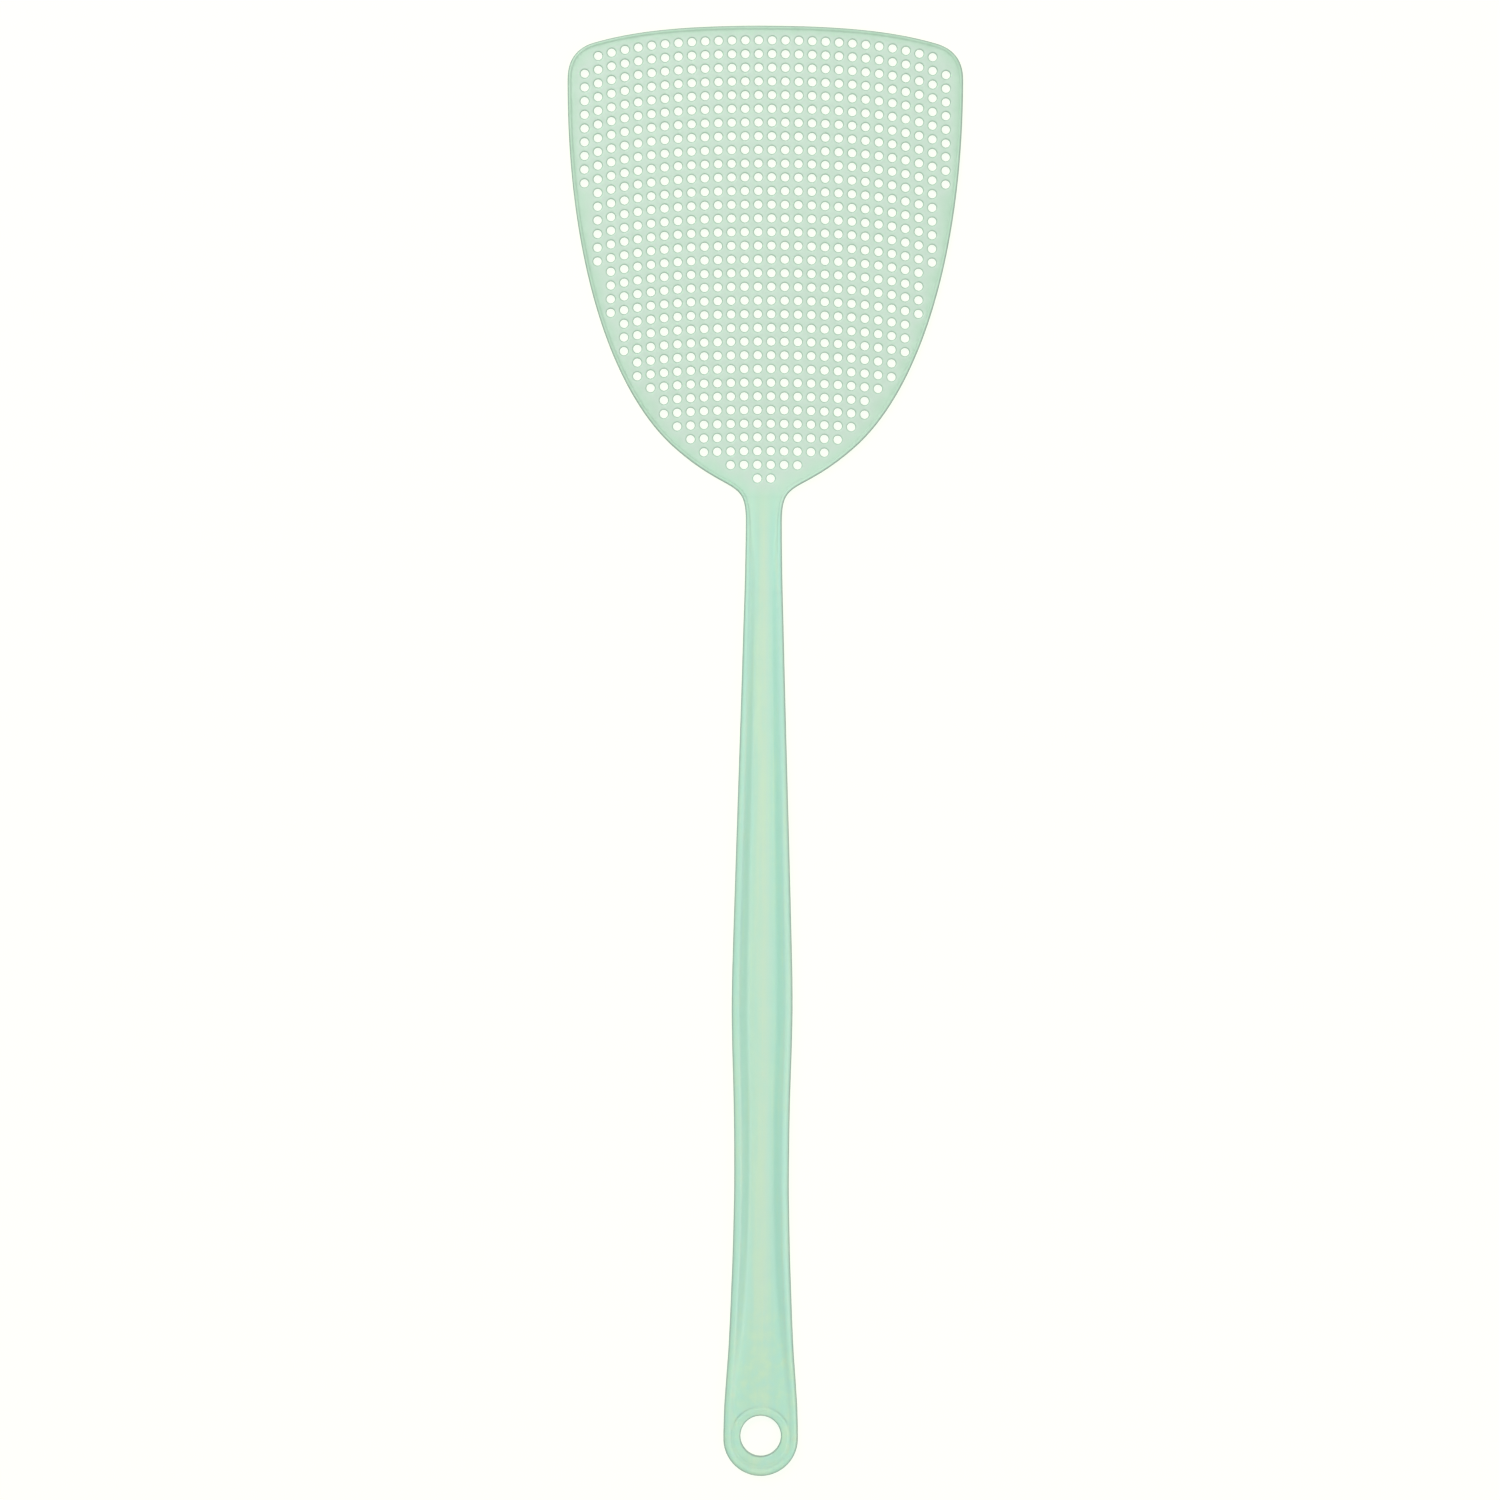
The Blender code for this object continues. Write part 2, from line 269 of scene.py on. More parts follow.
def make_piece(name, points, faces, sharp_angle=35.0):
    """Closed mesh object from a list of index arrays and points: x, station, height and painted light.

    The painted light paints shade where it is above zero and a highlight where it is below zero. It also
    stores how far across the handle each point lies, as x over the half width there.
    """
    place, depth = points[:, :3], points[:, 3]
    if volume_of(place - place.mean(axis=0), faces) < 0:
        faces = [block[:, ::-1] for block in faces]
    world = (place - (0.0, LENGTH / 2, 0.0)) * MM
    mesh = bpy.data.meshes.new(name)
    mesh.from_pydata(world.tolist(), [], [face for block in faces for face in block.tolist()])
    across = place[:, 0] / smooth_through(HALF_WIDTHS, place[:, 1])
    for label, values in (("across", across), ("depth", depth)):
        layer = mesh.attributes.new(label, "FLOAT", "POINT")
        layer.data.foreach_set("value", values.astype(np.float32))
    mesh.shade_smooth()
    mesh.set_sharp_from_angle(angle=math.radians(sharp_angle))
    piece = bpy.data.objects.new(name, mesh)
    bpy.context.scene.collection.objects.link(piece)
    print(f"{name}: {len(points)} points, {sum(map(len, faces))} faces")
    return piece


def carried(name, rings):
    """Piece from a section carried along a path: steps x section points x 4, with both ends capped."""
    steps, around = rings.shape[:2]
    first = np.arange(around)
    caps = np.stack((first[::-1], first + (steps - 1) * around))
    return make_piece(name, rings.reshape(-1, 4), [grid_faces(steps, around), caps])


# %% [markdown]
# ## One section for every edge
# Seen in section, the edge of the swatter is always the same thing at different sizes. From the outer face,
# a rounded corner climbs to a crest, and a soft slope runs down from it to the level inside: the panel on
# the head, the channel's floor on the handle. Writing that once, as height against distance in from the
# edge, lets the thin rim of the head grow into the tall rails of the handle without a joint.

# %% Section along the length
RAIL_WIDTHS = ((0.0, 2.3), (134.0, 2.3), (297.0, 1.3))
CRESTS = ((0.0, 3.1), (24.0, 3.3), (60.0, 4.2), (134.0, 4.7), (200.0, 4.2), (240.0, 3.5), (268.0, 2.8),
          (290.0, RIM_HEIGHT), (297.0, RIM_HEIGHT))
FLOORS = ((22.0, PAD_HEIGHT), (60.0, 2.2), (134.0, 2.1), (200.0, 2.0), (268.0, FLOOR_HEIGHT), (284.0, 1.6),
          (297.0, PANEL_HIGH))
SLOPE_FEET = ((0.0, 2.3), (22.0, 3.4), (60.0, 4.9), (134.0, 5.4), (200.0, 4.6), (270.0, 3.5), (297.0, 1.3))
CREST_PLACES = ((0.0, 1.15), (30.0, 1.25), (80.0, 1.8), (200.0, 1.6), (260.0, 1.2), (297.0, 0.65))
OUTER_ROUNDS = ((0.0, 1.3), (80.0, 1.5), (200.0, 1.4), (297.0, 0.75))
UNDERSIDES = ((0.0, 0.0), (284.0, 0.0), (297.0, PANEL_LOW))
BACK_ROUND = 0.8
# Painted shade: a dark line this wide along the outer edge, a band of it on the side wall and a weaker one at
# the underside corner.
EDGE_SHADE_WIDTH = 0.55
LINE_DROP = 0.3
WALL_SHADE = 0.6
FOOT_SHADE = 0.3


def top_height(inward, station):
    """Height this far in from the edge: a quarter ellipse to the crest, then an eased slope to the floor."""
    crest, floor = smooth_through(CRESTS, station), smooth_through(FLOORS, station)
    place, foot = smooth_through(CREST_PLACES, station), smooth_through(SLOPE_FEET, station)
    drop = smooth_through(OUTER_ROUNDS, station)
    outside = np.clip((place - inward) / place, 0, 1)
    corner = crest - drop * (1 - np.sqrt(1 - outside ** 2))
    slope = floor + (crest - floor) * ease((foot - inward) / (foot - place))
    return np.where(inward < place, corner, slope)


def back_height(inward, station):
    """Height of the underside: a quarter ellipse at the outer corner, then level or up to the panel."""
    place = smooth_through(CREST_PLACES, station)
    inside = smooth_through(RAIL_WIDTHS, station)
    outside = np.clip((place - inward) / place, 0, 1)
    corner = BACK_ROUND * (1 - np.sqrt(1 - outside ** 2))
    rise = smooth_through(UNDERSIDES, station) * (1 - ease((inside - inward) / (inside - place)))
    return np.where(inward < place, corner, rise)


def edge_rings(low, high, step):
    """Rings along the right-hand edge: each runs under the plastic from inside to outside, then back over it.

    Painted shade is deepest at the outer face's upper corner, and fades from there inwards and down the wall.
    """
    points, inward = stretch(low, high, step)
    station = points[:, 1:]
    width, place = smooth_through(RAIL_WIDTHS, station), smooth_through(CREST_PLACES, station)
    slope = place + (width - place) * np.linspace(1, 0, 7)[:-1]
    corner = place * (1 - np.sin(np.linspace(0, math.pi / 2, 7)))
    outward = np.concatenate((slope, corner), axis=1)
    over = outward[:, ::-1]
    back, top = back_height(outward, station), top_height(over, station)
    distance = np.concatenate((outward, 0 * place, over), axis=1)
    height = np.concatenate((back, top[:, :1] - LINE_DROP, top), axis=1)
    # Painted shade along the outer edge, down the side wall and at the underside corner.
    near = np.clip(1 - outward / EDGE_SHADE_WIDTH, 0, 1)
    depth = np.concatenate((FOOT_SHADE * near, 0 * place + WALL_SHADE, near[:, ::-1]), axis=1)
    x = points[:, :1] + distance * inward[:, :1]
    y = points[:, 1:] + distance * inward[:, 1:]
    return np.stack((x, y, height, depth), axis=-1)


sample = np.array([[0.0, 2.0, 6.0]])
print("height at the edge, 2 mm in and 6 mm in, up the handle:", top_height(sample, 200.0).round(2)[0])

# %% [markdown]
# ## Rim, neck beads, rails and end rim
# On the real swatter these are one unbroken bead. Here they are separate pieces cut across the path, so
# that the rim can move with the head and the rails with the handle, while the two neck beads sit in
# between on neither. Neighbours share the very same section where they meet, so no joint shows. The
# left-hand ones are the right-hand ones with x turned round, and the two that cross the middle are both
# halves in a row.

# %% Edge pieces
FLIP = np.array((-1.0, 1.0, 1.0, 1.0))
NECK_STEP, RAIL_STEP, RIM_STEP, END_STEP = 0.7, 1.3, 1.1, 0.6

right_rim = edge_rings(NECK_HIGH, LENGTH, RIM_STEP)
rim_bead = carried("rim_bead", np.concatenate((right_rim, (right_rim * FLIP)[-2::-1])))
right_end = edge_rings(0.0, EYE_RADIUS, END_STEP)
end_rim = carried("end_rim", np.concatenate(((right_end * FLIP)[:0:-1], right_end)))
right_rail = edge_rings(EYE_RADIUS, NECK_LOW, RAIL_STEP)
rail_right = carried("rail_right", right_rail)
rail_left = carried("rail_left", right_rail * FLIP)
right_bead = edge_rings(NECK_LOW, NECK_HIGH, NECK_STEP)
bead_right = carried("bead_right", right_bead)
bead_left = carried("bead_left", right_bead * FLIP)

# %% [markdown]
# ## The channel between the rails
# The floor of the channel is a grid: one parameter runs across between the rails, the other along the
# handle. Its height comes from the same section as the rails, so the slope starts on one piece and lands on
# the other. At the bottom it has to stop at the round boss of the hang hole, so the lines that run along
# the handle start from an arc there instead of from a straight edge. The neck's web is the same surface,
# carried on.

# %% Channel
def inner_edge(station):
    """Half width between the inner walls of the rails at a station."""
    points, inward = stretch(EYE_RADIUS, NECK_HIGH, 0.5)
    wall = points + smooth_through(RAIL_WIDTHS, points[:, 1:]) * inward
    return np.interp(station, wall[:, 1], wall[:, 0])


def channel(name, starts, end, rows, columns=41):
    """Slab between the rails from a row of start stations to one end station: its top follows the section."""
    across = np.sin(np.linspace(-math.pi / 2, math.pi / 2, columns))
    along = np.linspace(0, 1, rows)[:, None]
    station = starts(across) * (1 - along) + end * along
    half = inner_edge(station)
    x = across * half
    inward = smooth_through(RAIL_WIDTHS, station) + half - np.abs(x)
    top = np.stack((x, station, top_height(inward, station), 0 * x), axis=-1)
    back = np.stack((x, station, smooth_through(UNDERSIDES, station), 0 * x), axis=-1)
    rings = np.concatenate((top, back[:, ::-1]), axis=1)
    left = np.arange(columns - 1)
    cap = np.stack((left, left + 1, 2 * columns - 2 - left, 2 * columns - 1 - left), axis=1)
    faces = [grid_faces(rows, 2 * columns), cap[:, ::-1], cap + (rows - 1) * 2 * columns]
    return make_piece(name, rings.reshape(-1, 4), faces)


INNER_EYE = EYE_RADIUS - RAIL_WIDTHS[0][1]
CHANNEL_ROWS, WEB_ROWS = 200, 42
handle_channel = channel("handle_channel", lambda t: HOLE_STATION + INNER_EYE * np.sqrt(1 - t ** 2),
                         NECK_LOW, CHANNEL_ROWS)
neck_channel = channel("neck_channel", lambda t: NECK_LOW + 0 * t, NECK_HIGH, WEB_ROWS)

# %% [markdown]
# ## The boss round the hang hole
# The handle ends in a nearly flat pad with the hang hole through it, and a faint raised ring round the
# hole. The hole sits a little above the centre of the round end, so the pad is turned about the hole on its
# inside but keeps to the end rim on its outside. Each ring of points is a circle whose centre slides from
# one to the other.

# %% Hang boss
def quarter(centre, radius, start, steps=6):
    """Points of a quarter circle from a start angle in degrees, anticlockwise."""
    angle = np.radians(start + np.linspace(0, 90, steps))
    return np.c_[centre[0] + radius * np.cos(angle), centre[1] + radius * np.sin(angle)]


HOLE_RADIUS = 6.15
HOLE_ROUND = 0.6
RING_FOOT = 8.5
RING_TOP = 8.0
BOSS_SIDES = 96
foot = np.linspace(RING_FOOT, RING_TOP, 5)
ring_rise = PAD_HEIGHT + (BOSS_HEIGHT - PAD_HEIGHT) * ease((RING_FOOT - foot) / (RING_FOOT - RING_TOP))
profile = np.vstack(((INNER_EYE, 0.0), (INNER_EYE, PAD_HEIGHT), np.c_[foot, ring_rise],
                     quarter((HOLE_RADIUS + HOLE_ROUND, BOSS_HEIGHT - HOLE_ROUND), HOLE_ROUND, 90),
                     quarter((HOLE_RADIUS + HOLE_ROUND, HOLE_ROUND), HOLE_ROUND, 180)))
radius, height = profile.T
turn = np.linspace(0, 2 * math.pi, BOSS_SIDES, endpoint=False)[:, None]
slide = np.clip((radius - HOLE_RADIUS - HOLE_ROUND) / (INNER_EYE - HOLE_RADIUS - HOLE_ROUND), 0, 1)
centre = HOLE_STATION - (HOLE_STATION - EYE_RADIUS) * slide * (np.sin(turn) < -1e-9)
# Painted shade on the hang hole's rounded edge and in its bore, strongest towards the top face.
boss_painted_shade = np.clip((HOLE_RADIUS + HOLE_ROUND - radius) / HOLE_ROUND, 0, 1) ** 2
up_wall = np.clip(height / (BOSS_HEIGHT - HOLE_ROUND), 0, 1)
boss_painted_shade = boss_painted_shade * (WALL_SHADE + (1 - WALL_SHADE) * up_wall ** 2)
boss_rings = np.stack(np.broadcast_arrays(
    radius * np.cos(turn), centre + radius * np.sin(turn), height, boss_painted_shade), axis=-1)
hang_boss = make_piece("hang_boss", boss_rings.reshape(-1, 4),
                       [grid_faces(BOSS_SIDES, len(profile), wrap_rows=True)])

# %% [markdown]
# ## The perforated panel
# The holes stand in 28 columns. Every row is the same bowed line, a copy of the head's top edge moved down,
# and towards the neck the rows get shorter as the head narrows. Each hole is a short stack of circles: the
# outer ones lie on the panel's faces, and the inner ones round its edge into the bore. All 730 stacks are
# one array. The flat faces between them are a Delaunay triangulation that keeps to the outline and the
# circles.

# %% Hole pattern
ROW_COUNTS = ([26] + 9 * [28] + 6 * [26] + 4 * [24] + 3 * [22] + 2 * [20] + [18] + 2 * [16]
              + [14, 12, 10, 6, 2])
COLUMN_PITCH = 4.06
ROW_PITCH = 4.156
FIRST_ROW_DROP = 4.4
rows, columns = np.meshgrid(np.arange(len(ROW_COUNTS)), np.arange(max(ROW_COUNTS)), indexing="ij")
offset = columns - (max(ROW_COUNTS) - 1) / 2
wanted = np.abs(offset) < np.array(ROW_COUNTS)[:, None] / 2
hole_x = offset[wanted] * COLUMN_PITCH
hole_y = LENGTH - FIRST_ROW_DROP - rows[wanted] * ROW_PITCH - bow(hole_x)
print("holes:", len(hole_x))

# %% Panel
HOLE_SIDES = 14
# Each ring: radius, sink from the face and painted light, a painted highlight on the face round the hole
# below zero and painted shade in the bore above zero. The back face gets a share of it.
HOLE_RINGS = np.array(((1.75, 0.0, -0.65), (1.52, 0.06, 0.2), (1.30, 0.22, 0.7)))
BACK_SHADING = 0.45
INSIDE_ONLY = 1
MERGE_GAP = 1e-6
ring_radius = np.concatenate((HOLE_RINGS[:, 0], HOLE_RINGS[::-1, 0]))
ring_height = np.concatenate((PANEL_HIGH - HOLE_RINGS[:, 1], PANEL_LOW + HOLE_RINGS[::-1, 1]))
ring_painted_shading = np.concatenate((HOLE_RINGS[:, 2], BACK_SHADING * HOLE_RINGS[::-1, 2]))
turn = np.linspace(0, 2 * math.pi, HOLE_SIDES, endpoint=False) + math.pi / HOLE_SIDES
stacks = np.stack(np.broadcast_arrays(
    hole_x[:, None, None] + ring_radius[:, None] * np.cos(turn),
    hole_y[:, None, None] + ring_radius[:, None] * np.sin(turn),
    ring_height[:, None], ring_painted_shading[:, None]), axis=-1)


def panel_side():
    """Right-hand edge of the panel, along the rim's inner wall from the neck to the top."""
    points, inward = stretch(NECK_HIGH, LENGTH, RIM_STEP)
    wall = points + smooth_through(RAIL_WIDTHS, points[:, 1:]) * inward
    return np.vstack(((inner_edge(NECK_HIGH), NECK_HIGH), wall))


def flat_fill(border, circles):
    """Triangles between a border and the circles inside it, as places in the border and circles in a row."""
    count, sides = circles.shape[:2]
    points = np.vstack((border, circles.reshape(-1, 2)))
    edge = np.arange(len(border))
    around = len(border) + np.arange(count * sides).reshape(count, sides)
    edges = np.concatenate((np.stack((edge, np.roll(edge, -1)), axis=1),
                            np.stack((around, np.roll(around, -1, axis=1)), axis=-1).reshape(-1, 2)))
    filled = geometry.delaunay_2d_cdt([Vector(p) for p in points], edges.tolist(), [], INSIDE_ONLY, MERGE_GAP)
    source = np.array([found[0] for found in filled[3]])
    triangles = source[np.array(filled[2])]
    owner = np.concatenate((np.full(len(border), -1), np.repeat(np.arange(count), sides)))[triangles]
    in_hole = (owner[:, 0] >= 0) & (owner[:, 0] == owner[:, 1]) & (owner[:, 1] == owner[:, 2])
    return triangles[~in_hole]


side = panel_side()
border = np.vstack((side, (side * (-1.0, 1.0))[-2::-1]))
triangles = flat_fill(border, stacks[:, 0, :, :2])
count, levels = len(hole_x), len(ring_radius)
edge = np.arange(len(border))
top_ring = len(border) + np.arange(count * HOLE_SIDES).reshape(count, 1, HOLE_SIDES)
face_size = len(border) + count * HOLE_SIDES
middle = 2 * face_size + np.arange(count * (levels - 2) * HOLE_SIDES).reshape(count, levels - 2, HOLE_SIDES)
number = np.concatenate((top_ring, middle, top_ring + face_size), axis=1)
after = np.roll(number, -1, axis=2)
bores = np.stack((number[:, :-1], after[:, :-1], after[:, 1:], number[:, 1:]), axis=-1).reshape(-1, 4)
wall = np.stack((edge, edge + face_size, np.roll(edge, -1) + face_size, np.roll(edge, -1)), axis=1)
flat = np.vstack((border, stacks[:, 0, :, :2].reshape(-1, 2)))
level = np.ones(len(flat))
near_hole = np.arange(face_size) >= len(border)
# The outer ring of each hole carries its painted highlight on both faces.
points = np.vstack((np.c_[flat, level * PANEL_HIGH, ring_painted_shading[0] * near_hole],
                    np.c_[flat, level * PANEL_LOW, ring_painted_shading[-1] * near_hole],
                    stacks[:, 1:-1].reshape(-1, 4)))
head_panel = make_piece("head_panel", points, [triangles, triangles[:, ::-1] + face_size, wall, bores])
settle = head_panel.modifiers.new("flat_faces_win", "WEIGHTED_NORMAL")
settle.keep_sharp = True

# %% [markdown]
# ## Who moves with what
# The head's pieces ride on the body that the neck's hinge turns, and the handle's pieces on the one that
# stays. The neck has no pin: it bends. Its three pieces are baked where they stand and ride on neither body.

# %% Bodies
RIDERS = (
    (rim_bead, "head", "rim_plastic", ("head_rim",)),
    (head_panel, "head", "head_plastic", ("head_grid_upper", "head_grid_lower")),
    (rail_left, "handle", "handle_plastic", ("handle_rail_left",)),
    (rail_right, "handle", "handle_plastic", ("handle_rail_right",)),
    (handle_channel, "handle", "channel_plastic", ("handle_floor",)),
    (hang_boss, "handle", "handle_plastic", ("hang_eye",)),
    (end_rim, "handle", "handle_plastic", ("hang_eye_rim",)),
)
BENDERS = (
    (neck_channel, "channel_plastic", "neck_web"),
    (bead_left, "rim_plastic", "neck_bead_left"),
    (bead_right, "rim_plastic", "neck_bead_right"),
)


def on_axis(station):
    """Point of the centre line at a station, in metres."""
    return (0.0, (station - LENGTH / 2) * MM, 0.0)


for piece, body, slot, nodes in RIDERS:
    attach(piece, body)
    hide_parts(*nodes)
    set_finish(piece, slot)
for piece, slot, node in BENDERS:
    on_axis(NECK_LOW)
    on_axis(NECK_HIGH)
    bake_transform(piece)
    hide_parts(node)
    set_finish(piece, slot)

# %% [markdown]
# ## Writing shader maths as expressions
# A material's node tree is easier to read as a formula. The small class below wraps a socket, and its
# operators add Math nodes. One more method adds any other node from its type, its settings and its inputs.

# %% Shader expressions
class Value:
    """A socket that can be added, subtracted and multiplied with numbers or other sockets."""

    def __init__(self, tree, socket):
        self.tree = tree
        self.socket = socket

    def math(self, operation, first, second):
        """Math node on two values, as a new Value."""
        return add_node(self.tree, "ShaderNodeMath", {"operation": operation}, {0: first, 1: second})

    def __add__(self, other):
        return self.math("ADD", self, other)

    def __sub__(self, other):
        return self.math("SUBTRACT", self, other)

    def __rsub__(self, other):
        return self.math("SUBTRACT", other, self)

    def __mul__(self, other):
        return self.math("MULTIPLY", self, other)

    def clamped(self, low, high):
        """This value held between two numbers."""
        return self.math("MINIMUM", self.math("MAXIMUM", self, low), high)

    __radd__ = __add__
    __rmul__ = __mul__


def add_node(tree, kind, settings, inputs, output=0):
    """Node of a kind, with its settings made first, and its inputs given as numbers, colours or Values."""
    node = tree.nodes.new(kind)
    for name, setting in settings.items():
        if name == "stops":
            set_stops(node.color_ramp, setting)
        else:
            setattr(node, name, setting)
    for key, given in inputs.items():
        if isinstance(given, Value):
            tree.links.new(given.socket, node.inputs[key])
        else:
            node.inputs[key].default_value = given
    return Value(tree, node.outputs[output])


def set_stops(ramp, stops):
    """Give a colour ramp its stops: pairs of a position and a colour."""
    for position, colour in stops[2:]:
        ramp.elements.new(position)
    for element, (position, colour) in zip(ramp.elements, sorted(stops)):
        element.position = position
        element.color = (*colour, 1.0)


print("shader maths ready")

# %% [markdown]
# ## Mint polypropylene
# Cheap polypropylene is never one flat colour. Pigment drags along with the melt, so the handle shows long
# faint streaks and bands: greyer and paler down the middle of the channel, deeper and more teal beside it,
# and the deeper bands at the foot of the rails' slopes are partly painted shade. At the end pad the melt
# swirls, and in the head, filled last, it turns greyer and faintly cloudy. Painted shade deepens the tone at
# the edges, on the side walls and in the bores of the holes, and a painted highlight makes the face round
# each hole paler. All four finishes share these colours, so nothing changes at a joint, and differ in how
# much their surface is polished.
#
# The bands have to follow the taper of the handle. So they're read from the *across* attribute, which runs
# from -1 on one edge to 1 on the other, while clouds and grain are read from Object coordinates, in metres.

# %% Colours of the plastic
# Colour bands across the channel; the deeper stops near 0.3 and 0.7, at the foot of the rails' slopes, are
# partly painted shade.
BANDS_AND_FOOT_SHADE = ((0.0, (0.45, 0.72, 0.57)), (0.10, (0.455, 0.75, 0.60)), (0.18, (0.49, 0.78, 0.63)),
         (0.26, (0.475, 0.74, 0.59)), (0.34, (0.48, 0.72, 0.56)), (0.42, (0.53, 0.735, 0.555)),
         (0.52, (0.545, 0.735, 0.56)), (0.60, (0.515, 0.73, 0.585)), (0.68, (0.455, 0.725, 0.58)),
         (0.76, (0.43, 0.74, 0.60)), (0.84, (0.45, 0.76, 0.62)), (0.92, (0.455, 0.75, 0.605)),
         (1.0, (0.52, 0.74, 0.60)))
WARM = (0.57, 0.77, 0.52, 1)
COOL = (0.42, 0.73, 0.61, 1)
NECK_TONE = (0.497, 0.735, 0.56, 1)
PAD_TONE = (0.465, 0.74, 0.535, 1)
HEAD_DEEP = (0.43, 0.645, 0.48, 1)
HEAD_PALE = (0.51, 0.71, 0.555, 1)
# The next two are painted light: a painted highlight for the face round each hole, and painted shade for the
# edges, side walls and bores.
LIT = (0.59, 0.70, 0.615, 1)
PAINTED_EDGE_SHADE = (0.20, 0.26, 0.24, 1)

# %% Where the tones change, as stations, and how strongly
PAD_FADE = (28.0, 62.0)
NECK_FADE = (284.0, 299.0)
HEAD_FADE = (294.0, 322.0)
CLOUD_SCALE, GRAIN_SCALE = 330.0, 2600.0
BUMP_DISTANCE = 0.00004
PLASTIC_IOR = 1.49


def noise(tree, place, stretch_by, scale, detail):
    """Smooth noise between 0 and 1 whose pattern is stretched by three factors."""
    stretched = add_node(tree, "ShaderNodeMapping", {}, {"Vector": place, "Scale": stretch_by})
    return add_node(tree, "ShaderNodeTexNoise", {}, {"Vector": stretched, "Scale": scale, "Detail": detail})


def mix_colours(tree, share, first, second):
    """Blend of two colours by a share from 0 to 1."""
    return add_node(tree, "ShaderNodeMix", {"data_type": "RGBA"}, {0: share, 6: first, 7: second}, 2)


def along(tree, y, low, high):
    """Smooth step from 0 to 1 between two stations."""
    return add_node(tree, "ShaderNodeMapRange", {"interpolation_type": "SMOOTHSTEP"},
                    {"Value": y, "From Min": (low - LENGTH / 2) * MM, "From Max": (high - LENGTH / 2) * MM})


# %% Plastic
def plastic(name, roughness, relief):
    """Satin mint plastic: bands and streaks along the handle, clouds on the head, painted shade at the edges
    and a painted highlight round the holes.
    """
    material = bpy.data.materials.new(name)
    material.use_nodes = True
    tree = material.node_tree
    shader = tree.nodes["Principled BSDF"]
    place = add_node(tree, "ShaderNodeTexCoord", {}, {}, "Object")
    y = add_node(tree, "ShaderNodeSeparateXYZ", {}, {0: place}, "Y")
    across = add_node(tree, "ShaderNodeAttribute", {"attribute_name": "across"}, {}, "Fac")
    depth = add_node(tree, "ShaderNodeAttribute", {"attribute_name": "depth"}, {}, "Fac")

    strand = add_node(tree, "ShaderNodeCombineXYZ", {}, {"X": across, "Y": y})
    flow = noise(tree, strand, (3.2, 26.0, 1.0), 1.0, 4.0)
    threads = noise(tree, strand, (13.0, 22.0, 1.0), 1.0, 2.0)
    swirl = noise(tree, place, (1.0, 0.4, 1.0), CLOUD_SCALE, 4.0)
    cloud = noise(tree, place, (1.0, 1.0, 1.0), CLOUD_SCALE, 4.0)
    grain = noise(tree, place, (1.0, 1.0, 1.0), GRAIN_SCALE, 2.0)

    in_pad = 1 - along(tree, y, *PAD_FADE)
    drift = flow + in_pad * (swirl - flow) - 0.5
    fine = 0.7 * (threads - 0.5) + (0.6 + 1.8 * in_pad) * (cloud - 0.5)
    banded = add_node(tree, "ShaderNodeValToRGB", {"stops": BANDS_AND_FOOT_SHADE}, {0: 0.5 + 0.5 * across + 0.16 * drift})
    padded = mix_colours(tree, 0.6 * in_pad, banded, PAD_TONE)
    warmed = mix_colours(tree, (1.6 * drift + fine).clamped(0.0, 0.6), padded, WARM)
    cooled = mix_colours(tree, (-1.6 * drift - fine).clamped(0.0, 0.6), warmed, COOL)
    necked = mix_colours(tree, 0.65 * along(tree, y, *NECK_FADE), cooled, NECK_TONE)
    clouded = mix_colours(tree, (0.5 + 1.5 * (cloud - 0.5)).clamped(0.0, 1.0), HEAD_DEEP, HEAD_PALE)
    headed = mix_colours(tree, along(tree, y, *HEAD_FADE), necked, clouded)
    # Painted highlight round each hole where the painted light is below zero, then painted shade where it is
    # above zero.
    lit = mix_colours(tree, (-1.0 * depth).clamped(0.0, 1.0), headed, LIT)
    colour = mix_colours(tree, (0.95 * depth).clamped(0.0, 1.0), lit, PAINTED_EDGE_SHADE)

    rough = (roughness + 0.12 * (cloud - 0.5) + 0.10 * (grain - 0.5)).clamped(0.15, 0.8)
    bump = add_node(tree, "ShaderNodeBump", {}, {"Strength": relief, "Distance": BUMP_DISTANCE,
                                                "Height": 0.7 * grain + 0.5 * threads})
    tree.links.new(colour.socket, shader.inputs["Base Color"])
    tree.links.new(rough.socket, shader.inputs["Roughness"])
    tree.links.new(bump.socket, shader.inputs["Normal"])
    shader.inputs["IOR"].default_value = PLASTIC_IOR
    shader.inputs["Subsurface Weight"].default_value = 0.2
    shader.inputs["Subsurface Radius"].default_value = (0.8, 1.0, 0.8)
    shader.inputs["Subsurface Scale"].default_value = 0.001
    return material


FINISHES = {
    "head_plastic": plastic("head_plastic", 0.42, 0.25),
    "rim_plastic": plastic("rim_plastic", 0.36, 0.18),
    "channel_plastic": plastic("channel_plastic", 0.42, 0.25),
    "handle_plastic": plastic("handle_plastic", 0.36, 0.18),
}
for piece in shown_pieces():
    piece.data.materials.clear()
    piece.data.materials.append(FINISHES[piece["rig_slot"]])
print("finishes:", sorted(FINISHES))

# %% [markdown]
# ## A light table to lie on
# The floor is a pale sheet lit from within, as a light table is: it keeps the view through 730 small holes
# bright, and leaves only the softest shadow where the swatter touches it.

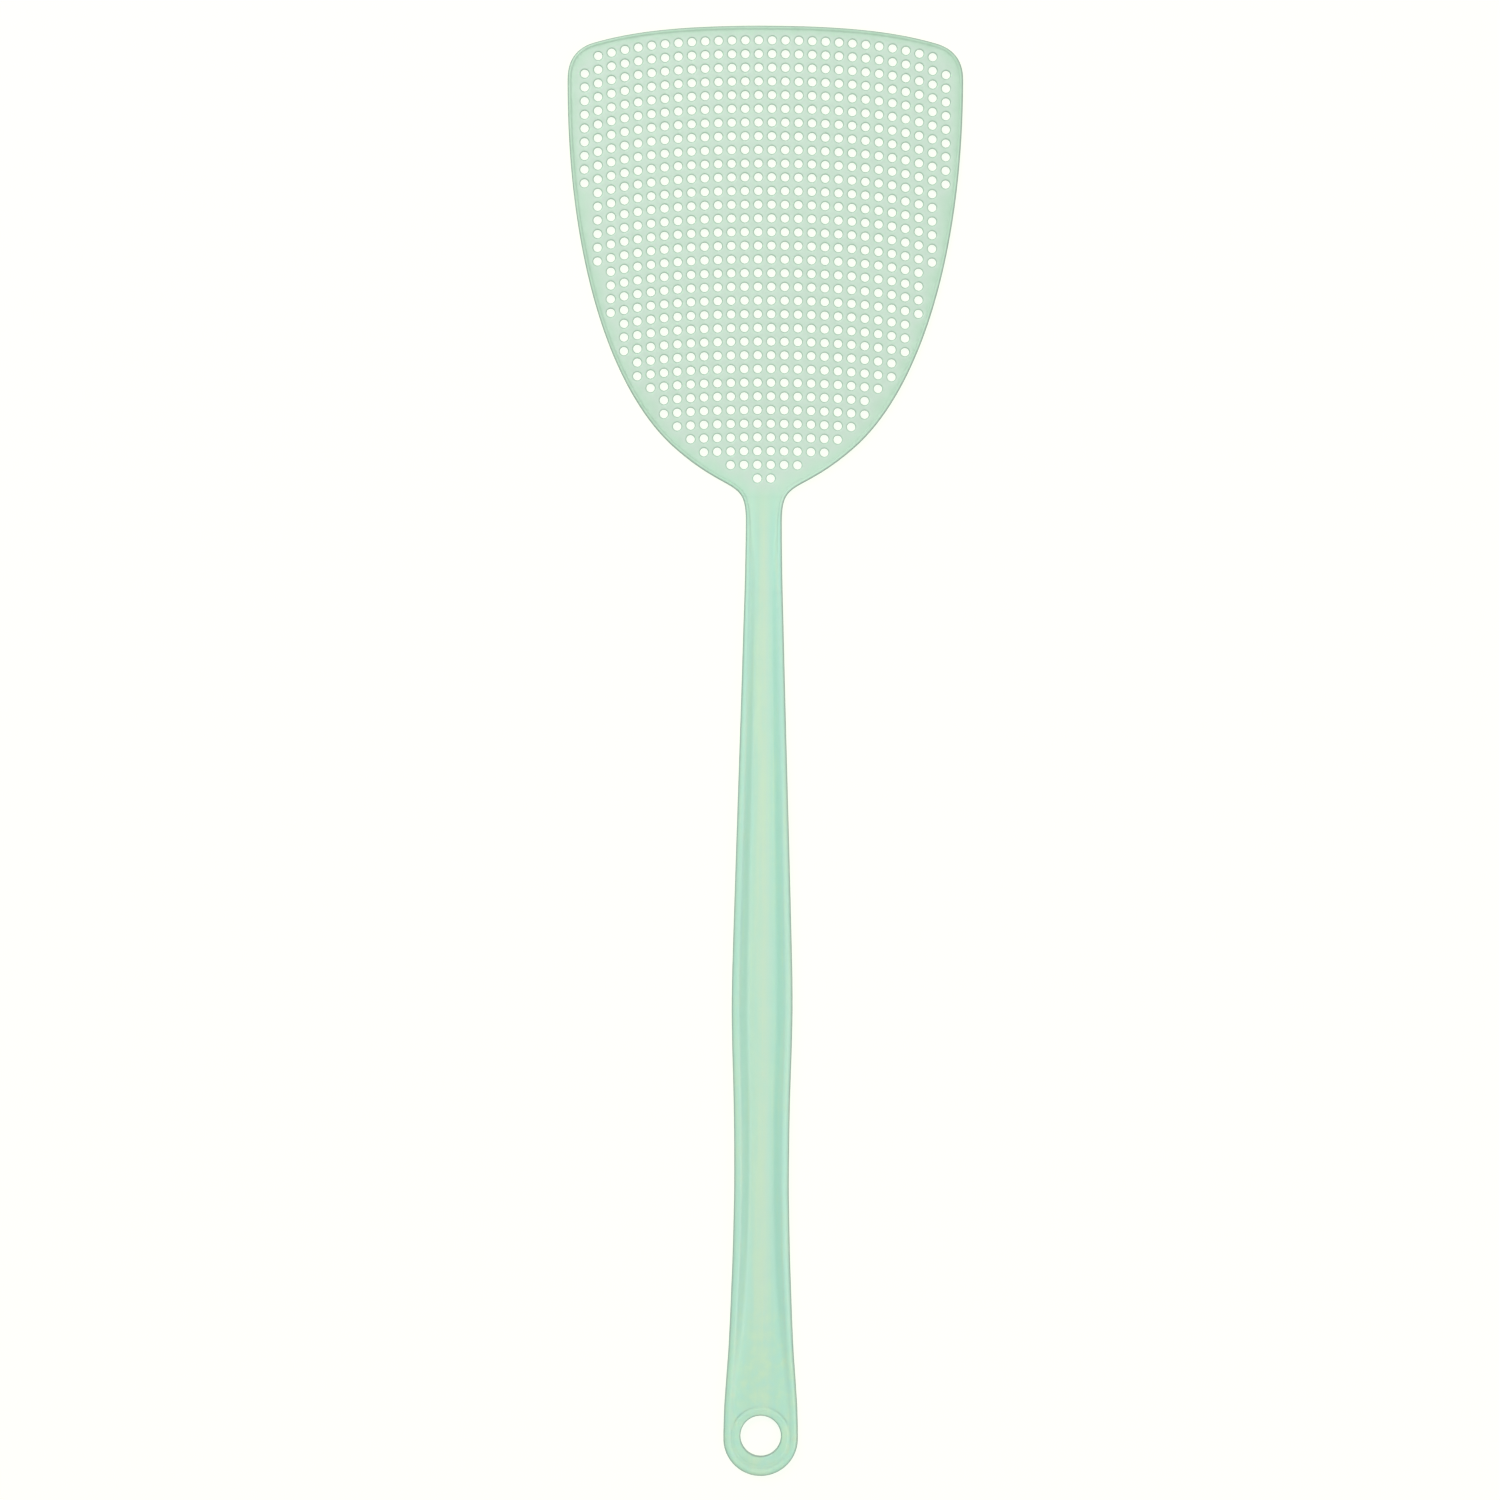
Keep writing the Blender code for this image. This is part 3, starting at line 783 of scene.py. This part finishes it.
# %% Floor
FLOOR_SIZE = 6.0
FLOOR_DROP = 0.0002
floor_mesh = bpy.data.meshes.new("floor")
half = FLOOR_SIZE / 2
floor_mesh.from_pydata([(-half, -half, -FLOOR_DROP), (half, -half, -FLOOR_DROP), (half, half, -FLOOR_DROP),
                        (-half, half, -FLOOR_DROP)], [], [(0, 1, 2, 3)])
floor = bpy.data.objects.new("floor", floor_mesh)
bpy.context.scene.collection.objects.link(floor)
sheet = bpy.data.materials.new("light_table")
sheet.use_nodes = True
glow = sheet.node_tree.nodes["Principled BSDF"]
glow.inputs["Base Color"].default_value = (0.20, 0.20, 0.11, 1)
glow.inputs["Roughness"].default_value = 0.9
glow.inputs["Specular IOR Level"].default_value = 0.1
glow.inputs["Emission Color"].default_value = (0.94, 1.0, 0.95, 1)
glow.inputs["Emission Strength"].default_value = 0.9
floor_mesh.materials.append(sheet)

# %% [markdown]
# ## Soft studio light
# One large key light from the upper left, a weaker fill from the lower right and an even white surround.
# Large lights close to the object give the long soft highlights that show a rounded rail for what it is.

# %% Lights
def softbox(name, location, size, power):
    """Square area light in metres and watts, aimed at the origin."""
    lamp = bpy.data.lights.new(name, "AREA")
    lamp.size = size
    lamp.energy = power
    light = bpy.data.objects.new(name, lamp)
    light.location = location
    light.rotation_euler = (-Vector(location)).to_track_quat("-Z", "Y").to_euler()
    bpy.context.scene.collection.objects.link(light)


softbox("key", (-0.6, 0.8, 1.2), 0.8, 14.4)
softbox("fill", (0.8, -0.5, 1.1), 0.9, 7.2)
world = bpy.data.worlds.new("surround")
world.use_nodes = True
surround = world.node_tree.nodes["Background"]
surround.inputs["Color"].default_value = (1.0, 1.0, 1.0, 1)
surround.inputs["Strength"].default_value = 0.41
bpy.context.scene.world = world
bpy.context.scene.view_settings.view_transform = "Standard"

# %% [markdown]
# ## The camera, straight above
# The view looks straight down on the face from far enough away that the rails show no perspective. The
# frame is a little wider than the swatter is long, and the whole thing is turned by a fifth of a degree.

# %% Camera
VIEW_WIDTH = 0.45555
VIEW_CENTRE = (-0.00395, 0.0002)
VIEW_DISTANCE = 1.6
TURN = 0.2
camera_data = bpy.data.cameras.new("camera")
camera_data.lens = camera_data.sensor_width * VIEW_DISTANCE / VIEW_WIDTH
camera = bpy.data.objects.new("camera", camera_data)
camera.location = (*VIEW_CENTRE, VIEW_DISTANCE)
camera.rotation_euler = (0.0, 0.0, math.radians(TURN))
bpy.context.scene.collection.objects.link(camera)
bpy.context.scene.camera = camera
